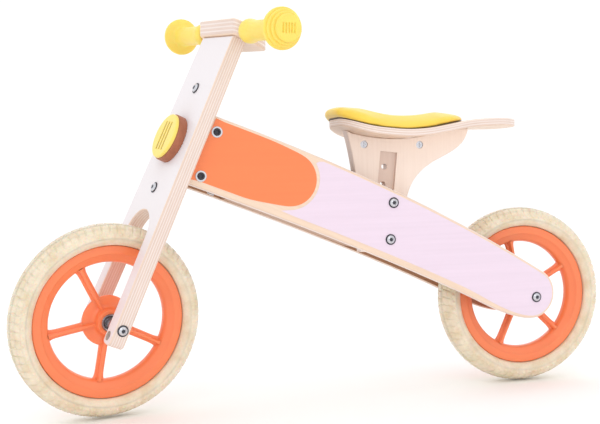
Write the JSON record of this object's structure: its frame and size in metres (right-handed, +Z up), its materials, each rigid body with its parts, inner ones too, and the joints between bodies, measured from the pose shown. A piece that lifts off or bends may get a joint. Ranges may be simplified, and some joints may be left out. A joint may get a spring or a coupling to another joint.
{
  "type": "balance bike",
  "caption": "Child's wooden balance bike: plywood side panels, slotted plywood fork that steers, spoked wheels with foam tyres, bent saddle with cushion, handlebar with grips.",
  "frame": {"origin": "on the ground, below the middle of the whole box", "axes": "+X forward, +Y to the rider's left, +Z up"},
  "size_m": [0.8382, 0.3396, 0.5313],
  "materials": {
    "panel_ply": "birch plywood with satin orange and lilac paint",
    "fork_ply": "birch plywood with a white painted face",
    "birch_ply": "clear satin varnish over birch plywood",
    "birch": "clear satin varnish over solid birch",
    "brown_wood": "brown stained beech",
    "yellow_wood": "satin yellow paint on wood",
    "rim_plastic": "moulded orange polypropylene",
    "tyre_foam": "cream EVA foam",
    "grip_rubber": "soft moulded yellow rubber",
    "cushion_cover": "yellow padded cover",
    "bright_steel": "zinc plated steel",
    "dark_steel": "blackened steel",
    "nylon": "moulded nylon"
  },
  "bodies": {
    "root": {"side_panel_left": "panel_ply", "side_panel_right": "panel_ply", "head_block_upper": "birch", "head_block_lower": "birch", "steering_pin": "bright_steel", "steering_pin_ring": "dark_steel", "under_spacer": "birch", "head_bolt_upper": "dark_steel", "head_nut_upper": "dark_steel", "head_bolt_lower": "dark_steel", "head_nut_lower": "dark_steel", "seat_post": "birch_ply", "seat_clamp_left": "birch", "seat_clamp_right": "birch", "seat_bolt_upper": "bright_steel", "seat_nut_upper": "bright_steel", "seat_bolt_lower": "bright_steel", "seat_nut_lower": "bright_steel", "seat_board": "birch_ply", "seat_cushion": "cushion_cover", "seat_screw_front": "bright_steel", "seat_barrel_nut_front": "bright_steel", "seat_screw_rear": "bright_steel", "seat_barrel_nut_rear": "bright_steel", "rear_axle_bolt": "dark_steel", "rear_axle_nut": "dark_steel", "rear_spacer_left": "bright_steel", "rear_spacer_right": "bright_steel"},
    "steering": {"fork_panel": "fork_ply", "leg_screw_left": "dark_steel", "leg_screw_right": "dark_steel", "hinge_bracket": "dark_steel", "steering_bush_upper": "nylon", "steering_bush_lower": "nylon", "fork_bolt_upper": "dark_steel", "fork_nut_upper": "dark_steel", "fork_bolt_lower": "dark_steel", "fork_nut_lower": "dark_steel", "badge_disc": "brown_wood", "badge_cap": "yellow_wood", "head_plate": "birch_ply", "handlebar_tube": "bright_steel", "plate_screw_left": "bright_steel", "grip_left": "grip_rubber", "plate_screw_right": "bright_steel", "grip_right": "grip_rubber", "front_axle_bolt": "dark_steel", "front_axle_nut": "dark_steel", "front_spacer_left": "bright_steel", "front_spacer_right": "bright_steel"},
    "front_wheel": {"front_rim": "rim_plastic", "front_tyre": "tyre_foam", "front_bearing_left": "bright_steel", "front_bearing_right": "bright_steel"},
    "rear_wheel": {"rear_rim": "rim_plastic", "rear_tyre": "tyre_foam", "rear_bearing_left": "bright_steel", "rear_bearing_right": "bright_steel"}
  },
  "joints": [
    {"name": "steering_turn", "type": "hinge", "parent": "root", "child": "steering", "pos_m": [0.23687, -0.01597, 0.09885], "axis": [-0.4131, 0, 0.9107], "range_deg": [-32, 4]},
    {"name": "front_wheel_spin", "type": "hinge", "parent": "steering", "child": "front_wheel", "pos_m": [0.29519, 0, 0.1253], "axis": [-0.2203, 0.9703, -0.0999], "continuous": true},
    {"name": "rear_wheel_spin", "type": "hinge", "parent": "root", "child": "rear_wheel", "pos_m": [-0.29443, -0.01597, 0.12501], "axis": [0, 1, 0], "continuous": true}
  ]
}
